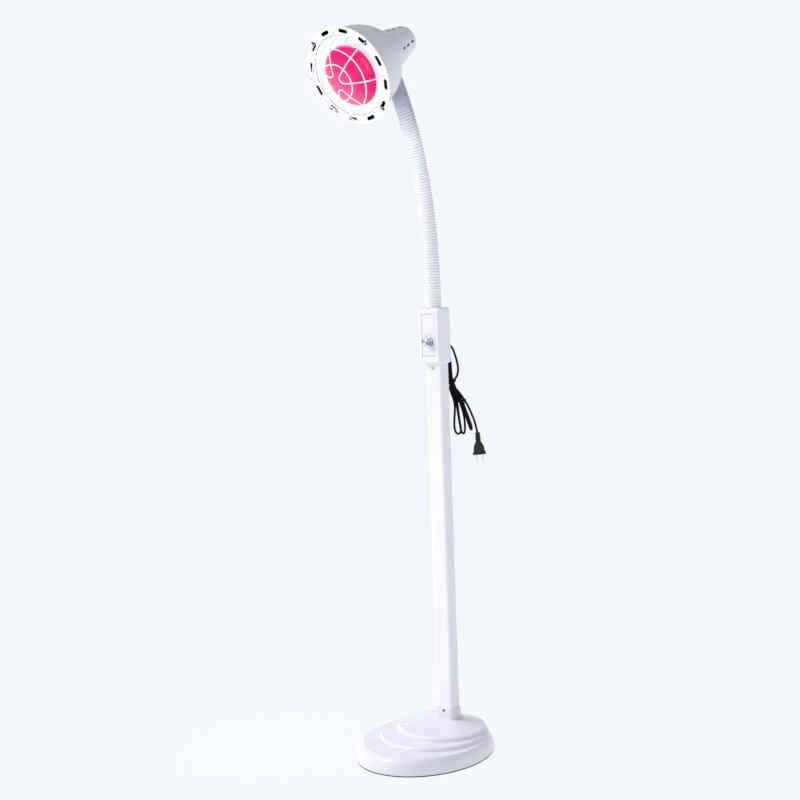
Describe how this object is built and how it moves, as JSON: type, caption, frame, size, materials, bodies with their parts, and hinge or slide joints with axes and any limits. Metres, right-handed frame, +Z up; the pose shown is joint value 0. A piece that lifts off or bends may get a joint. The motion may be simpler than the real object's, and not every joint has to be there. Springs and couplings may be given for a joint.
{
  "type": "infrared heat therapy lamp",
  "caption": "Free-standing heat therapy lamp: weighted stepped base, square column, dimmer box, ribbed gooseneck and a bell shade with a red reflector bulb behind a wire guard.",
  "frame": {"origin": "on the floor under the column's centre line", "axes": "+Z up, -Y towards the control panel and the lamp face, +X to the right seen from in front"},
  "size_m": [0.267, 0.4029, 1.4968],
  "materials": {
    "mat_rubber": "dull anti-slip rubber",
    "base_white": "glossy white moulding",
    "ballast_iron": "rough casting",
    "socket_steel": "zinc-plated",
    "fastener_steel": "zinc-plated",
    "screw_dark": "blackened",
    "column_paint": "white powder coat, satin",
    "box_white": "white moulding, semi-gloss",
    "panel_lilac": "pale lilac film",
    "knob_silver": "bright plated",
    "dimmer_black": "moulded",
    "plain_steel": "plated",
    "board_green": "solder mask",
    "component_grey": "moulded cases",
    "ferrule_paint": "white paint",
    "hose_white": "white ribbed sleeve",
    "core_steel": "spiral wound",
    "shade_grey": "light grey-lavender paint",
    "reflector_bright": "polished",
    "ring_white": "white paint",
    "guard_white": "white-coated wire",
    "ceramic_white": "glazed ceramic",
    "cap_brass": "plated",
    "bulb_red": "red reflector bulb",
    "filament_metal": "glass stem and wires",
    "cord_black": "black flexible",
    "blade_steel": "plated blades"
  },
  "bodies": {
    "stand": {"base_mat": "mat_rubber", "base_cover": "base_white", "ballast_plate": "ballast_iron", "cover_screws": "fastener_steel", "column_socket": "socket_steel", "socket_screws": "fastener_steel", "base_collar": "base_white", "collar_screw": "screw_dark", "column_tube": "column_paint", "column_spigot": "socket_steel", "column_screw": "screw_dark", "box_front_cover": "box_white", "panel_plate": "panel_lilac", "box_rear_shell": "box_white", "box_screws": "fastener_steel", "dimmer_body": "dimmer_black", "dimmer_nut": "plain_steel", "circuit_board": "board_green", "terminal_block": "dimmer_black", "board_parts": "component_grey", "neck_lower_ferrule": "ferrule_paint", "neck_lower_nut": "plain_steel", "cord_relief": "cord_black", "cord_lead": "cord_black", "cord_hank": "cord_black", "cord_tail": "cord_black", "cord_ties": "cord_black", "plug_body": "cord_black", "plug_blades": "blade_steel"},
    "knob": {"control_knob": "knob_silver", "dimmer_shaft": "plain_steel"},
    "neck_01": {"neck_sleeve_01": "hose_white", "neck_core_01": "core_steel"},
    "neck_02": {"neck_sleeve_02": "hose_white", "neck_core_02": "core_steel"},
    "neck_03": {"neck_sleeve_03": "hose_white", "neck_core_03": "core_steel"},
    "neck_04": {"neck_sleeve_04": "hose_white", "neck_core_04": "core_steel"},
    "neck_05": {"neck_sleeve_05": "hose_white", "neck_core_05": "core_steel"},
    "neck_06": {"neck_sleeve_06": "hose_white", "neck_core_06": "core_steel"},
    "neck_07": {"neck_sleeve_07": "hose_white", "neck_core_07": "core_steel"},
    "head": {"neck_upper_ferrule": "ferrule_paint", "shade_bell": "shade_grey", "reflector": "reflector_bright", "front_ring": "ring_white", "guard_rings": "guard_white", "guard_petals": "guard_white", "ring_screws": "screw_dark", "rear_housing": "shade_grey", "lamp_holder": "ceramic_white", "holder_shell": "cap_brass", "holder_bracket": "plain_steel", "holder_screws": "fastener_steel", "bulb_glass": "bulb_red", "bulb_cap": "cap_brass", "bulb_filament": "filament_metal"}
  },
  "joints": [
    {"name": "knob_turn", "type": "hinge", "parent": "stand", "child": "knob", "pos_m": [0, -0.03, 0.859], "axis": [0, 1, 0], "range_deg": [0, 270]},
    {"name": "neck_bend_1", "type": "hinge", "parent": "stand", "child": "neck_01", "pos_m": [0, -0.00602, 0.9475], "axis": [1, 0, 0], "range_deg": [-12, 15]},
    {"name": "neck_bend_2", "type": "hinge", "parent": "neck_01", "child": "neck_02", "pos_m": [0, -0.00724, 1.00948], "axis": [0, 0.9992, 0.0391], "range_deg": [-13, 13]},
    {"name": "neck_bend_3", "type": "hinge", "parent": "neck_02", "child": "neck_03", "pos_m": [0, -0.01117, 1.07135], "axis": [1, 0, 0], "range_deg": [-12, 15]},
    {"name": "neck_bend_4", "type": "hinge", "parent": "neck_03", "child": "neck_04", "pos_m": [0, -0.01859, 1.1329], "axis": [0, 0.9886, 0.1507], "range_deg": [-13, 13]},
    {"name": "neck_bend_5", "type": "hinge", "parent": "neck_04", "child": "neck_05", "pos_m": [0, -0.03002, 1.19382], "axis": [1, 0, 0], "range_deg": [-12, 15]},
    {"name": "neck_bend_6", "type": "hinge", "parent": "neck_05", "child": "neck_06", "pos_m": [0, -0.04587, 1.25375], "axis": [0, 0.9561, 0.293], "range_deg": [-13, 13]},
    {"name": "neck_bend_7", "type": "hinge", "parent": "neck_06", "child": "neck_07", "pos_m": [0, -0.06644, 1.31222], "axis": [1, 0, 0], "range_deg": [-12, 15]},
    {"name": "neck_bend_8", "type": "hinge", "parent": "neck_07", "child": "head", "pos_m": [0, -0.09179, 1.36879], "axis": [0, 0.8924, 0.4512], "range_deg": [-13, 13]}
  ],
  "couplings": [
    {"joint": "neck_bend_3", "follows": "neck_bend_1", "ratio": 1},
    {"joint": "neck_bend_5", "follows": "neck_bend_1", "ratio": 1},
    {"joint": "neck_bend_7", "follows": "neck_bend_1", "ratio": 1},
    {"joint": "neck_bend_4", "follows": "neck_bend_2", "ratio": 1},
    {"joint": "neck_bend_6", "follows": "neck_bend_2", "ratio": 1},
    {"joint": "neck_bend_8", "follows": "neck_bend_2", "ratio": 1}
  ]
}
